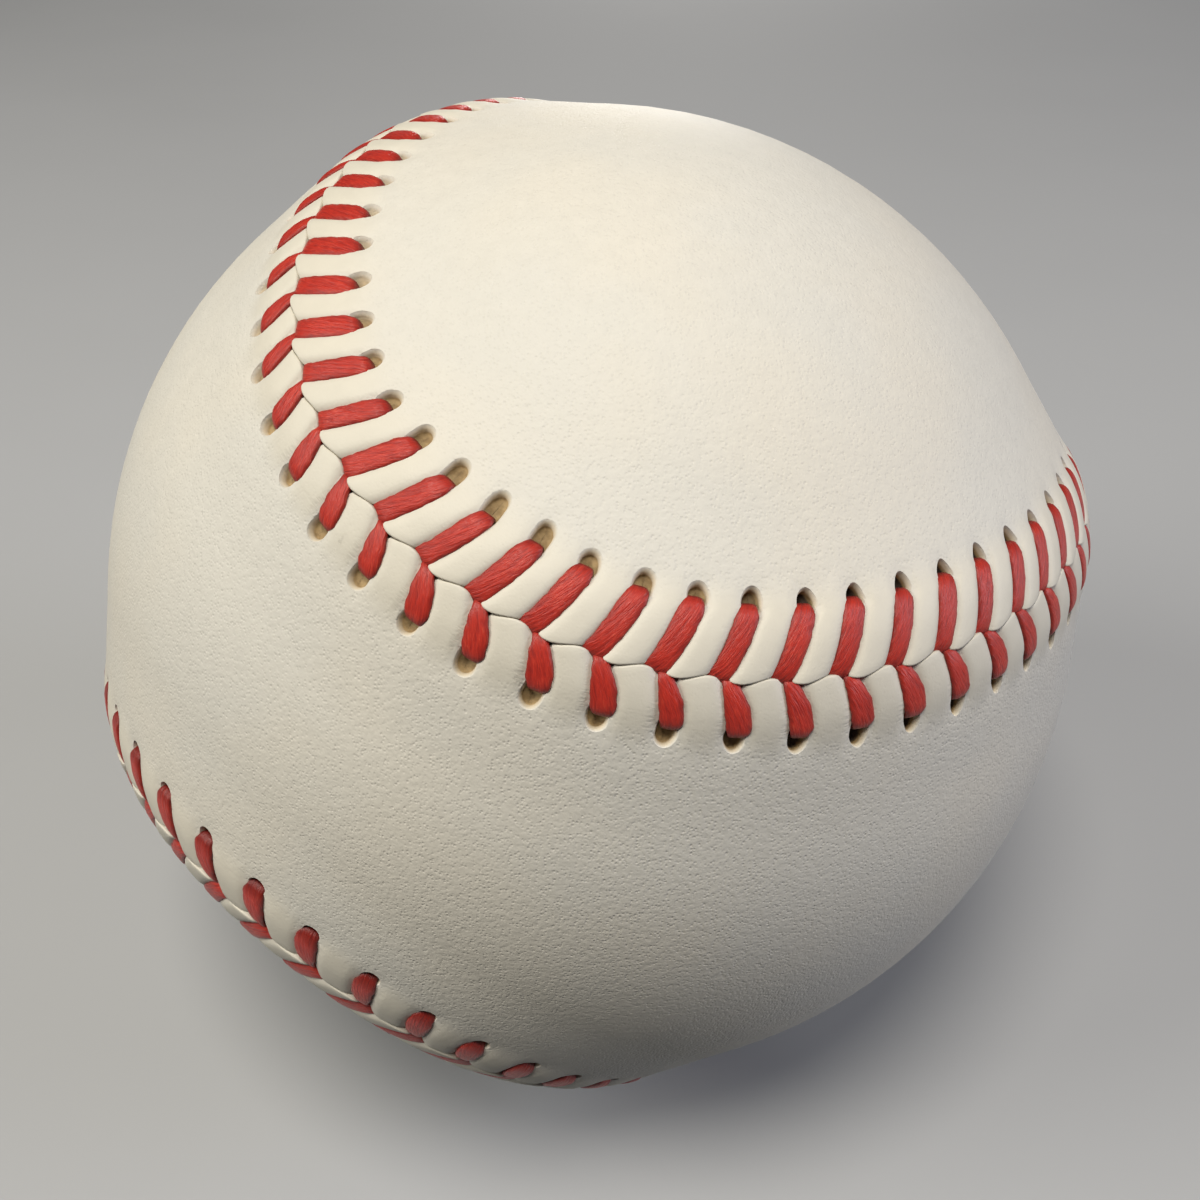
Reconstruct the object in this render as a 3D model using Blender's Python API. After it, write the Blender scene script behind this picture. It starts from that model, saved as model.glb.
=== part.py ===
"""A hand-sewn leather baseball: cork and rubber centre, four yarn windings, two covers and two threads."""

from math import acos, asin, cos, pi, radians, sin

import bmesh
import bpy
import numpy as np
from mathutils import Vector

# Ball, cover and windings, in metres, from the outside in
BALL_CIRCUMFERENCE = 0.2318
LEATHER_THICKNESS = 0.0013
FINISH_YARN_THICKNESS = 0.0005
THIRD_WINDING_THICKNESS = 0.0022
SECOND_WINDING_THICKNESS = 0.0017
YARN_PORE_DIAMETER = 0.0024
FIT_GAP = 0.0003

# Centre, from the inside out
CORK_DIAMETER = 0.0206
INNER_RUBBER_THICKNESS = 0.0032
OUTER_RUBBER_THICKNESS = 0.0026
GASKET_THICKNESS = 0.0008

# Seam line: the width of a cover at its neck, and the stitches along the line
NECK_WIDTH = 0.0293
STITCH_COUNT = 108
SEAM_START = 0.8685
STITCH_DRIFT = 0.089
DRIFT_PHASE = 0.472

# Cover edge: raised ridge, pillows between the stitches, and the gap between the covers
RIDGE_HEIGHT = 0.0009
RIDGE_REACH = 0.010
PILLOW_HEIGHT = 0.0003
VALLEY_DEPTH = 0.0003
GAP_AT_PILLOW = 0.0003
GAP_AT_STITCH = 0.0018
BAND_MARGIN = 0.0018

# Stitch holes and thread
HOLE_DISTANCE = 0.0034
LOBE_PULL = 0.0006
STITCH_LEAN = 0.0012
SLIT_LENGTH = 0.0017
THREAD_WIDTH = 0.00085
THREAD_THICKNESS = 0.0004
THREAD_CLEARANCE = 0.00025

# How the ball lies: turns about X, then Y, then Z, in degrees
LIE = (-106.1, -20.7, -21.6)

# Facets: turned pieces round the axis and from pole to pole, arcs across a cover and the stitches
# from one arc to the next, samples of the seam, and the angle over which an edge stays sharp
TURN_STEPS = 20
POLE_STEPS = 10
CROSS_POINTS = 6
COLUMN_STEP = 2
SEAM_SAMPLES = 4000
SHARP_ANGLE = 40
SAME_POINT = 1e-6

# Radii that follow from the sizes above
BALL_RADIUS = BALL_CIRCUMFERENCE / (2 * pi)
FINISH_OUTER = BALL_RADIUS - LEATHER_THICKNESS - FIT_GAP
FINISH_INNER = FINISH_OUTER - FINISH_YARN_THICKNESS
THIRD_OUTER = FINISH_INNER - FIT_GAP
THIRD_INNER = THIRD_OUTER - THIRD_WINDING_THICKNESS
SECOND_OUTER = THIRD_INNER - FIT_GAP
SECOND_INNER = SECOND_OUTER - SECOND_WINDING_THICKNESS
FIRST_OUTER = SECOND_INNER - FIT_GAP
CORK_RADIUS = CORK_DIAMETER / 2
INNER_RUBBER_INNER = CORK_RADIUS + FIT_GAP
INNER_RUBBER_OUTER = INNER_RUBBER_INNER + INNER_RUBBER_THICKNESS
OUTER_RUBBER_INNER = INNER_RUBBER_OUTER + FIT_GAP
OUTER_RUBBER_OUTER = OUTER_RUBBER_INNER + OUTER_RUBBER_THICKNESS
FIRST_INNER = OUTER_RUBBER_OUTER + FIT_GAP

COVER_A = 1
COVER_B = -1


def finish(name, colour, roughness):
    """A plain material of one colour."""
    material = bpy.data.materials.new(name)
    material.use_nodes = True
    shader = material.node_tree.nodes["Principled BSDF"]
    shader.inputs["Base Color"].default_value = (*colour, 1.0)
    shader.inputs["Roughness"].default_value = roughness
    shader.inputs["Metallic"].default_value = 0.0
    return material


def add_piece(name, bm, material, ball):
    """Turn a closed bmesh into a named object, carried by the ball's empty."""
    bmesh.ops.recalc_face_normals(bm, faces=bm.faces[:])
    mesh = bpy.data.meshes.new(name)
    bm.to_mesh(mesh)
    bm.free()
    mesh.shade_smooth()
    mesh.set_sharp_from_angle(angle=radians(SHARP_ANGLE))
    mesh.materials.append(material)
    piece = bpy.data.objects.new(name, mesh)
    piece.parent = ball
    bpy.context.collection.objects.link(piece)
    return piece


def arc(radius, start, end):
    """Profile points of a circle about the centre, from one polar angle to another, on shared latitudes."""
    latitudes = [k * pi / POLE_STEPS for k in range(POLE_STEPS + 1)]
    clear = pi / POLE_STEPS / 10
    low = min(start, end) + clear
    high = max(start, end) - clear
    between = [angle for angle in latitudes if low < angle < high]
    if end < start:
        between.reverse()
    return [(radius * sin(angle), radius * cos(angle)) for angle in [start, *between, end]]


def turned(profile, closed):
    """Spin a profile of (radius, height) points about Z into a closed body."""
    bm = bmesh.new()
    points = [bm.verts.new((radius, 0.0, height)) for radius, height in profile]
    ends = points[1:] + points[:1] if closed else points[1:]
    for first, second in zip(points, ends):
        on_axis = max(abs(first.co.x), abs(second.co.x)) < SAME_POINT
        if not on_axis:
            bm.edges.new((first, second))
    bmesh.ops.spin(bm, geom=bm.verts[:] + bm.edges[:], cent=(0, 0, 0), axis=(0, 0, 1),
                   angle=2 * pi, steps=TURN_STEPS, use_merge=True)
    bmesh.ops.remove_doubles(bm, verts=bm.verts[:], dist=SAME_POINT)
    return bm


def cork_ball():
    return turned(arc(CORK_RADIUS, 0.0, pi), closed=False)


def half_shell(inner, outer, rim, top):
    """Half of a hollow ball, cut square at a rim that lies a little above or below the middle."""
    pole = 0.0 if top else pi
    rim_height = rim if top else -rim
    outside = arc(outer, acos(rim_height / outer), pole)
    inside = arc(inner, pole, acos(rim_height / inner))
    return turned(outside + inside, closed=True)


def gasket_ring():
    """The flat ring that seals the two inner rubber halves, from the cork out to their outer face."""
    half = GASKET_THICKNESS / 2
    corners = [(INNER_RUBBER_INNER, half), (INNER_RUBBER_OUTER, half)]
    corners += [(INNER_RUBBER_OUTER, -half), (INNER_RUBBER_INNER, -half)]
    return turned(corners, closed=True)


def winding(inner, outer):
    """One yarn layer, a hollow ball whose pore at the top passes the yarn's end."""
    pore = YARN_PORE_DIAMETER / 2
    outside = arc(outer, asin(pore / outer), pi)
    inside = arc(inner, pi, asin(pore / inner))
    return turned(outside + inside, closed=True)


def seam_samples():
    """The seam on a unit ball, a closed curve of the angle t, with its running length."""
    neck_angle = NECK_WIDTH / (2 * BALL_RADIUS)
    a = (1 + sin(neck_angle)) / 2
    b = (1 - sin(neck_angle)) / 2
    c = 2 * (a * b) ** 0.5
    t = np.linspace(0.0, 2 * pi, SEAM_SAMPLES + 1)
    x = a * np.cos(t) + b * np.cos(3 * t)
    y = a * np.sin(t) - b * np.sin(3 * t)
    z = c * np.sin(2 * t)
    points = np.stack([x, y, z], axis=1)
    steps = np.linalg.norm(np.diff(points, axis=0), axis=1)
    return t, points, np.concatenate([[0.0], np.cumsum(steps)])


SEAM_T, SEAM_POINTS, SEAM_LENGTHS = seam_samples()
STITCH_PITCH = SEAM_LENGTHS[-1] * BALL_RADIUS / STITCH_COUNT


def seam_parameter(stitch):
    """The curve's t at a stitch number, whole or not. The hand-sewn pitch drifts slowly round the ball."""
    share = stitch / STITCH_COUNT
    share += SEAM_START + STITCH_DRIFT / (2 * pi) * sin(2 * pi * (share - DRIFT_PHASE))
    return float(np.interp((share % 1.0) * SEAM_LENGTHS[-1], SEAM_LENGTHS, SEAM_T))


def seam_frame(stitch):
    """Unit vectors at a stitch number: out from the centre, along the seam, and across it to cover A."""
    t = seam_parameter(stitch)
    step = 2 * pi / SEAM_SAMPLES

    def point(angle):
        return Vector([float(np.interp(angle % (2 * pi), SEAM_T, values)) for values in SEAM_POINTS.T])

    out = point(t).normalized()
    along = (point(t + step) - point(t - step)).normalized()
    return out, along, out.cross(along).normalized()


def on_ball(stitch, across, height):
    """A point at a stitch number, a distance across the seam, and a height over the plain ball."""
    out, _, aside = seam_frame(stitch)
    angle = across / BALL_RADIUS
    return (out * cos(angle) + aside * sin(angle)) * (BALL_RADIUS + height)


def ridge(across):
    """Height of the seam's ridge, which fades out smoothly over its reach."""
    share = min(abs(across) / RIDGE_REACH, 1.0)
    return RIDGE_HEIGHT * (1 - share * share * (3 - 2 * share))


def hole_distance(stitch, cover):
    """From the seam to the thread in its hole: more on a cover's round lobes, less on its narrow neck."""
    lobe = -cover * sin(2 * seam_parameter(stitch))
    return HOLE_DISTANCE + LOBE_PULL * lobe


def slit_ends(stitch, cover):
    """Distances from the seam to the two ends of a slit, the near one just clear of the thread."""
    near = hole_distance(stitch, cover) - THREAD_THICKNESS / 2 - THREAD_CLEARANCE
    return near, near + SLIT_LENGTH


# Shares of the pitch: the lean of a stitch, the step of each thread to its own side, half a slit
LEAN = STITCH_LEAN / STITCH_PITCH
OFFSET = THREAD_WIDTH / STITCH_PITCH
HALF_SLIT = (THREAD_WIDTH / 2 + THREAD_CLEARANCE) / STITCH_PITCH


def cover_band(bm, cover):
    """The sewn edge of one cover: for each stitch a valley, a slit and half a pillow on either side."""
    cells = []
    for stitch in range(STITCH_COUNT):
        middle = stitch + 0.5
        near, far = slit_ends(stitch + LEAN, cover)
        crest = near / 2
        band = far + BAND_MARGIN
        edge = GAP_AT_PILLOW / 2
        notch = GAP_AT_STITCH / 2
        spots = {
            "notch": (stitch - cover * OFFSET / 2, notch, ridge(notch) - VALLEY_DEPTH),
            "edge": (middle, edge, ridge(edge)),
            "crest": (middle + LEAN / 2, crest, ridge(crest) + PILLOW_HEIGHT),
            "near_left": (stitch + LEAN - HALF_SLIT, near, ridge(near)),
            "near_right": (stitch + LEAN + HALF_SLIT, near, ridge(near)),
            "far_left": (stitch + LEAN - HALF_SLIT, far, ridge(far)),
            "far_right": (stitch + LEAN + HALF_SLIT, far, ridge(far)),
            "inland": (middle + LEAN, band, ridge(band)),
        }
        cells.append({
            spot: bm.verts.new(on_ball(number, cover * across, height))
            for spot, (number, across, height) in spots.items()
        })
    for stitch in range(STITCH_COUNT):
        right = cells[stitch]
        left = cells[stitch - 1]
        bm.faces.new((left["edge"], right["notch"], right["near_left"], left["crest"]))
        bm.faces.new((right["notch"], right["edge"], right["crest"], right["near_right"]))
        bm.faces.new((right["notch"], right["near_right"], right["near_left"]))
        bm.faces.new((left["crest"], right["near_left"], right["far_left"], left["inland"]))
        bm.faces.new((right["near_right"], right["crest"], right["inland"], right["far_right"]))
        bm.faces.new((right["far_left"], right["far_right"], right["inland"], left["inland"]))
    return [cell["inland"] for cell in cells]


def facet_radius(cross_angle):
    """Radius of a facet's corners that puts half of its flatness outside the ball and half inside."""
    along_angle = COLUMN_STEP * STITCH_PITCH / BALL_RADIUS
    flatness = (cross_angle ** 2 + along_angle ** 2) / 8
    return BALL_RADIUS * (1 + flatness / 2)


def cover_field(bm, rim, cover):
    """The plain leather inside the band: arcs across the cover, from one lobe's tip to the other's."""
    lobe = [-cover * sin(2 * seam_parameter(stitch + 0.5 + LEAN)) for stitch in range(STITCH_COUNT)]
    tip = max(range(STITCH_COUNT), key=lambda stitch: lobe[stitch])
    half = STITCH_COUNT // 2

    def column(place):
        first = rim[(tip + place) % STITCH_COUNT]
        last = rim[(tip - place) % STITCH_COUNT]
        if place in (0, half):
            return [first] * (CROSS_POINTS + 1) + [last]
        start, end = first.co.normalized(), last.co.normalized()
        shares = [(k + 1) / (CROSS_POINTS + 1) for k in range(CROSS_POINTS)]
        radius = facet_radius(start.angle(end) / (CROSS_POINTS + 1))
        inside = [bm.verts.new(start.slerp(end, share) * radius) for share in shares]
        return [first, *inside, last]

    places = list(range(0, half, COLUMN_STEP)) + [half]
    columns = [column(place) for place in places]
    for one, two, place, after in zip(columns, columns[1:], places, places[1:]):
        for row in range(CROSS_POINTS + 1):
            corners = [one[row], two[row], two[row + 1], one[row + 1]]
            if row == 0:
                corners[1:1] = [rim[(tip + k) % STITCH_COUNT] for k in range(place + 1, after)]
            if row == CROSS_POINTS:
                corners[-1:-1] = [rim[(tip - k) % STITCH_COUNT] for k in range(after - 1, place, -1)]
            corners = list(dict.fromkeys(corners))
            if len(corners) > 2:
                bm.faces.new(corners)


def cover_panel(cover):
    """One figure-of-eight cover: its sewn band and its field, thickened towards the centre."""
    bm = bmesh.new()
    rim = cover_band(bm, cover)
    cover_field(bm, rim, cover)
    inner = bmesh.ops.extrude_face_region(bm, geom=bm.faces[:], use_keep_orig=True)
    for item in inner["geom"]:
        if isinstance(item, bmesh.types.BMVert):
            item.co -= item.co.normalized() * LEATHER_THICKNESS
    return bm


def thread_route(first_cover):
    """Corners of one thread: up through a hole, over to the gap, down it, and under the other cover."""
    over = THREAD_CLEARANCE + THREAD_THICKNESS / 2
    below = FINISH_OUTER - BALL_RADIUS + over
    corners = []
    for stitch in range(STITCH_COUNT):
        cover = first_cover if stitch % 2 == 0 else -first_cover
        hole = stitch + LEAN
        across = cover * hole_distance(hole, cover)
        gap = stitch - cover * OFFSET
        corners.append((hole, across, below))
        corners.append((hole, across, ridge(across) + over))
        corners.append((gap, 0.0, ridge(0.0) - VALLEY_DEPTH + over))
        corners.append((gap, 0.0, below))
    return corners


def square_to(direction, axis):
    """The part of a direction that is square to an axis, as a unit vector."""
    return (direction - axis * direction.dot(axis)).normalized()


def stitch_thread(first_cover):
    """A flat thread carried along its route, its width along the seam, mitred at corners and capped."""
    route = thread_route(first_cover)
    points = [on_ball(*corner) for corner in route]
    last = len(points) - 1
    bm = bmesh.new()
    rings = []
    for place, point in enumerate(points):
        along = seam_frame(route[place][0])[1]
        before = max(place - 1, 0)
        after = min(place + 1, last)
        arriving = square_to(points[max(place, 1)] - points[min(before, last - 1)], along)
        leaving = square_to(points[max(after, 1)] - points[min(place, last - 1)], along)
        heading = (arriving + leaving).normalized()
        thick = along.cross(heading) * (THREAD_THICKNESS / 2 / heading.dot(leaving))
        wide = along * (THREAD_WIDTH / 2)
        corners = (wide + thick, thick - wide, -wide - thick, wide - thick)
        rings.append([bm.verts.new(point + corner) for corner in corners])
    for one, two in zip(rings, rings[1:]):
        for side in range(4):
            beside = (side + 1) % 4
            bm.faces.new((one[side], one[beside], two[beside], two[side]))
    bm.faces.new(rings[0])
    bm.faces.new(rings[-1])
    return bm


def build():
    for item in list(bpy.data.objects):
        bpy.data.objects.remove(item)
    ball = bpy.data.objects.new("ball", None)
    ball.rotation_euler = [radians(turn) for turn in LIE]
    bpy.context.collection.objects.link(ball)

    cork = finish("cork", (0.45, 0.27, 0.14), 0.85)
    black_rubber = finish("black_rubber", (0.02, 0.02, 0.02), 0.6)
    red_rubber = finish("red_rubber", (0.42, 0.05, 0.04), 0.55)
    grey_wool = finish("grey_wool", (0.33, 0.33, 0.34), 0.95)
    white_wool = finish("white_wool", (0.78, 0.75, 0.68), 0.95)
    finish_yarn = finish("finish_yarn", (0.55, 0.47, 0.33), 0.9)
    leather = finish("white_leather", (0.79, 0.75, 0.67), 0.55)
    red_thread = finish("red_thread", (0.60, 0.04, 0.03), 0.45)

    inner_rim = GASKET_THICKNESS / 2 + FIT_GAP
    outer_rim = FIT_GAP / 2
    add_piece("cork_core", cork_ball(), cork, ball)
    for word, top in (("lower", False), ("upper", True)):
        inner_half = half_shell(INNER_RUBBER_INNER, INNER_RUBBER_OUTER, inner_rim, top)
        add_piece("inner_rubber_" + word, inner_half, black_rubber, ball)
        outer_half = half_shell(OUTER_RUBBER_INNER, OUTER_RUBBER_OUTER, outer_rim, top)
        add_piece("outer_rubber_" + word, outer_half, red_rubber, ball)
    add_piece("rubber_gasket", gasket_ring(), red_rubber, ball)
    add_piece("winding_first_grey", winding(FIRST_INNER, FIRST_OUTER), grey_wool, ball)
    add_piece("winding_second_white", winding(SECOND_INNER, SECOND_OUTER), white_wool, ball)
    add_piece("winding_third_grey", winding(THIRD_INNER, THIRD_OUTER), grey_wool, ball)
    add_piece("winding_finish_yarn", winding(FINISH_INNER, FINISH_OUTER), finish_yarn, ball)
    for letter, cover in (("a", COVER_A), ("b", COVER_B)):
        add_piece("cover_panel_" + letter, cover_panel(cover), leather, ball)
        add_piece("stitch_thread_" + letter, stitch_thread(cover), red_thread, ball)


build()
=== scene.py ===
import math

import bpy
import numpy as np
from mathutils import Matrix


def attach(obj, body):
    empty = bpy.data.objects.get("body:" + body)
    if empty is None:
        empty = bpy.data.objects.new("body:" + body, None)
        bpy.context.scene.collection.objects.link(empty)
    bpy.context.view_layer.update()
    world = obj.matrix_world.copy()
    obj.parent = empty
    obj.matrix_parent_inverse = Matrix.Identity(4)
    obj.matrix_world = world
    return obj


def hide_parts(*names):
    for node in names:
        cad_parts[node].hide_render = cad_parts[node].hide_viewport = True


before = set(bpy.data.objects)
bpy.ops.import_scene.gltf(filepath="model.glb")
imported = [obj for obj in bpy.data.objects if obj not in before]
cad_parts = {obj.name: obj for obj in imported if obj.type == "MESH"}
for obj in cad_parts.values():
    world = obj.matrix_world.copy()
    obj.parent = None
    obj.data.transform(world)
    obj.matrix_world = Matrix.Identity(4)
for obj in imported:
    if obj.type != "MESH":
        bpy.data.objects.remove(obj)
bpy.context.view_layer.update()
mm = 0.001
print("frame loaded:", len(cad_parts), "nodes")

# Seam: the line between the covers, in stitch numbers along it and metres across it
seam = {
    "ballRadius": 231.8 * mm / (2 * math.pi),
    "neckWidth": 29.3 * mm,
    "stitches": 108,
    "start": 0.8685,  # of stitch 0, as a share of the line
    "drift": 0.089,  # of the hand-sewn pitch
    "driftPhase": 0.472,
    "ridge": 0.9 * mm,  # height over the plain ball
    "ridgeReach": 10 * mm,
    "lie": (-106.1, -20.7, -21.6),  # turns about X, Y, Z in degrees
    "samples": 4000,
}
coverA, coverB = 1, -1  # the covers' sides of the seam


# Vectors of length 1: each divided by its length
def unit(v):
    return v / np.linalg.norm(v, axis=-1, keepdims=True)


# Matrix of turns about X, then Y, then Z
def turnMatrix(degrees):
    cx, cy, cz = np.cos(np.radians(degrees))
    sx, sy, sz = np.sin(np.radians(degrees))
    aboutX = np.array([[1, 0, 0], [0, cx, -sx], [0, sx, cx]])
    aboutY = np.array([[cy, 0, sy], [0, 1, 0], [-sy, 0, cy]])
    aboutZ = np.array([[cz, -sz, 0], [sz, cz, 0], [0, 0, 1]])
    return aboutZ @ aboutY @ aboutX


# Closed curve on a unit ball and its slope: x = a cos t + b cos 3t, y = a sin t - b sin 3t, z = c sin 2t
def seamCurve(t):
    lean = math.sin(seam["neckWidth"] / (2 * seam["ballRadius"]))
    a, b = (1 + lean) / 2, (1 - lean) / 2
    c = 2 * math.sqrt(a * b)
    x = a * np.cos(t) + b * np.cos(3 * t)
    y = a * np.sin(t) - b * np.sin(3 * t)
    slopeX = -a * np.sin(t) - 3 * b * np.sin(3 * t)
    slopeY = a * np.cos(t) - 3 * b * np.cos(3 * t)
    point = np.stack([x, y, c * np.sin(2 * t)], axis=-1)
    slope = np.stack([slopeX, slopeY, 2 * c * np.cos(2 * t)], axis=-1)
    return point, unit(slope)


seamT = np.linspace(0, 2 * math.pi, seam["samples"] + 1)
seamRun = np.linalg.norm(np.diff(seamCurve(seamT)[0], axis=0), axis=1)
seamRun = np.concatenate([[0.0], np.cumsum(seamRun)])
pitch = seamRun[-1] * seam["ballRadius"] / seam["stitches"]
lieMatrix = turnMatrix(seam["lie"])


# Curve angle of a stitch number: an even share of the line plus one slow wave of drift
def stitchAngle(n):
    share = n / seam["stitches"]
    wave = np.sin(2 * math.pi * (share - seam["driftPhase"]))
    share = share + seam["start"] + seam["drift"] / (2 * math.pi) * wave
    return np.interp((share % 1.0) * seamRun[-1], seamRun, seamT)


# Unit vectors at stitch numbers: out of the ball, along the seam, across it to cover A
def seamFrame(n):
    point, slope = seamCurve(stitchAngle(n))
    out, along = point @ lieMatrix.T, slope @ lieMatrix.T
    return out, along, np.cross(out, along)


# Point at a stitch number, a great-circle distance across the seam and a height over the ball
def onBall(n, across, height):
    out, along, aside = seamFrame(n)
    angle = (across / seam["ballRadius"])[..., None]
    return (out * np.cos(angle) + aside * np.sin(angle)) * (seam["ballRadius"] + height)[..., None]


# Smooth step from 0 at low to 1 at high: 3 s squared less 2 s cubed
def rise(x, low, high):
    s = np.clip((x - low) / (high - low), 0, 1)
    return s * s * (3 - 2 * s)


# 1 at 0, falling off past a width: the exponential of minus a power
def bell(x, width, power=2):
    return np.exp(-(x / width) ** power)


# Part of the way from the first of two values to the second
def partWay(ends, share):
    return ends[0] + (ends[1] - ends[0]) * share


# Height of the sewn ridge: full at the seam, down in a smooth step to 0 at its reach
def ridgeHeight(across):
    return seam["ridge"] * (1 - rise(np.abs(across), 0, seam["ridgeReach"]))


# 1 on a cover's round lobes, -1 on its neck: a sine of twice the curve's angle
def lobeShare(n, side):
    return -side * np.sin(2 * stitchAngle(n))


# Mesh from points and arrays of faces by number of corners; edges between sharp points are creased
def makePiece(name, points, faceSets, material, attributes=None, uv=None, sharp=None):
    mesh = bpy.data.meshes.new(name)
    corners = np.concatenate([faces.ravel() for faces in faceSets]).astype(np.int32)
    totals = np.concatenate([np.full(len(faces), faces.shape[1], np.int32) for faces in faceSets])
    starts = np.concatenate([[0], np.cumsum(totals)[:-1]]).astype(np.int32)
    mesh.vertices.add(len(points))
    mesh.vertices.foreach_set("co", points.astype(np.float32).ravel())
    mesh.loops.add(len(corners))
    mesh.loops.foreach_set("vertex_index", corners)
    mesh.polygons.add(len(totals))
    mesh.polygons.foreach_set("loop_start", starts)
    mesh.polygons.foreach_set("loop_total", totals)
    mesh.update(calc_edges=True)
    mesh.validate()
    mesh.shade_smooth()
    if sharp is not None:
        ends = np.empty(2 * len(mesh.edges), np.int32)
        mesh.edges.foreach_get("vertices", ends)
        creased = sharp[ends].reshape(-1, 2).all(axis=1)
        mesh.attributes.new("sharp_edge", "BOOLEAN", "EDGE").data.foreach_set("value", creased)
    for key, values in (attributes or {}).items():
        mesh.attributes.new(key, "FLOAT", "POINT").data.foreach_set("value", values.astype(np.float32))
    if uv is not None:
        layer = mesh.uv_layers.new(name="run")
        layer.data.foreach_set("uv", uv[corners].astype(np.float32).ravel())
    mesh.materials.append(material)
    piece = bpy.data.objects.new(name, mesh)
    bpy.context.scene.collection.objects.link(piece)
    return piece


# Quads of a grid of indices with closed rows: each point, the next in its row, and both in the row after
def ringQuads(index):
    beside = np.roll(index, -1, axis=1)
    return np.stack([index[:-1], beside[:-1], beside[1:], index[1:]], axis=-1)


# One socket of a node tree; arithmetic on it adds Math nodes, node() adds any other kind
class Wire:
    def __init__(self, tree, socket):
        self.tree = tree
        self.socket = socket

    # Any node: its type, its settings, and the values or links of its sockets
    def node(self, kind, settings, sockets, out=0):
        made = self.tree.nodes.new(kind)
        for key, value in settings.items():
            setattr(made, key, value)
        for key, value in sockets.items():
            if isinstance(value, Wire):
                self.tree.links.new(value.socket, made.inputs[key])
            else:
                made.inputs[key].default_value = value
        return Wire(self.tree, made.outputs[out])

    # One Math node on two values
    def math(self, operation, first, second):
        return self.node("ShaderNodeMath", {"operation": operation}, {0: first, 1: second})

    def __add__(self, other):
        return self.math("ADD", self, other)

    def __radd__(self, other):
        return self.math("ADD", other, self)

    def __sub__(self, other):
        return self.math("SUBTRACT", self, other)

    def __rsub__(self, other):
        return self.math("SUBTRACT", other, self)

    def __mul__(self, other):
        return self.math("MULTIPLY", self, other)

    def __rmul__(self, other):
        return self.math("MULTIPLY", other, self)

    def __abs__(self):
        return self.math("ABSOLUTE", self, 0.0)

    # 0 below low, 1 over high, smooth between
    def step(self, low, high):
        settings = {"interpolation_type": "SMOOTHSTEP"}
        return self.node("ShaderNodeMapRange", settings, {"Value": self, "From Min": low, "From Max": high})

    # The first colour at 0, the second at 1
    def mixed(self, first, second):
        ends = {6: (*first, 1.0) if isinstance(first, tuple) else first,
                7: (*second, 1.0) if isinstance(second, tuple) else second}
        return self.node("ShaderNodeMix", {"data_type": "RGBA"}, {0: self, **ends}, out=2)

    # A colour times one value
    def shaded(self, shade):
        return self.node("ShaderNodeVectorMath", {"operation": "SCALE"}, {0: self, "Scale": shade})

    # A vector times three numbers
    def scaled(self, x, y, z):
        return self.node("ShaderNodeVectorMath", {"operation": "MULTIPLY"}, {0: self, 1: (x, y, z)})

    # A least value plus a share of more
    def over(self, least, more):
        return least + more * self

    # A vector turned about X, Y and Z
    def turned(self, turns):
        return self.node("ShaderNodeMapping", {}, {"Vector": self, "Rotation": turns})

    # Clouds between 0 and 1 over a vector
    def noise(self, scale, detail=2.0, roughness=0.5):
        sockets = {"Vector": self, "Scale": scale, "Detail": detail, "Roughness": roughness}
        return self.node("ShaderNodeTexNoise", {}, sockets)

    # Distance to the nearest of scattered points
    def cells(self, scale):
        return self.node("ShaderNodeTexVoronoi", {"feature": "F1"}, {"Vector": self, "Scale": scale})

    # A chance from 0 to 1 for each cell: the first part of its colour
    def chance(self):
        colour = Wire(self.tree, self.socket.node.outputs[1])
        return self.node("ShaderNodeSeparateXYZ", {}, {"Vector": colour})

    # One of the mesh's own attributes
    def named(self, attribute):
        return self.node("ShaderNodeAttribute", {"attribute_name": attribute}, {}, out=2)

    # The mesh's UV map: millimetres along and across the run
    def runUv(self):
        return self.node("ShaderNodeUVMap", {"uv_map": "run"}, {})

    # Normals tilted by the slope of a height
    def bump(self, height, distance):
        return self.node("ShaderNodeBump", {}, {"Height": height, "Distance": distance, "Strength": 1.0})


# New material: gives its object coordinates in millimetres and a function that links wires to its shader
def newFinish(name, gloss, sheen=(0.0, 0.5)):
    material = bpy.data.materials.new(name)
    material.use_nodes = True
    tree = material.node_tree
    shader = tree.nodes["Principled BSDF"]
    shader.inputs["Specular IOR Level"].default_value = gloss
    shader.inputs["Sheen Weight"].default_value = sheen[0]
    shader.inputs["Sheen Roughness"].default_value = sheen[1]
    place = Wire(tree, tree.nodes.new("ShaderNodeTexCoord").outputs["Object"])

    # Each wire that is there goes to its socket
    def finish(colour, rough, normal=None):
        for key, wire in {"Base Color": colour, "Roughness": rough, "Normal": normal}.items():
            if wire is not None:
                tree.links.new(wire.socket, shader.inputs[key])
        return material

    return place.scaled(1 / mm, 1 / mm, 1 / mm), finish


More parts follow.
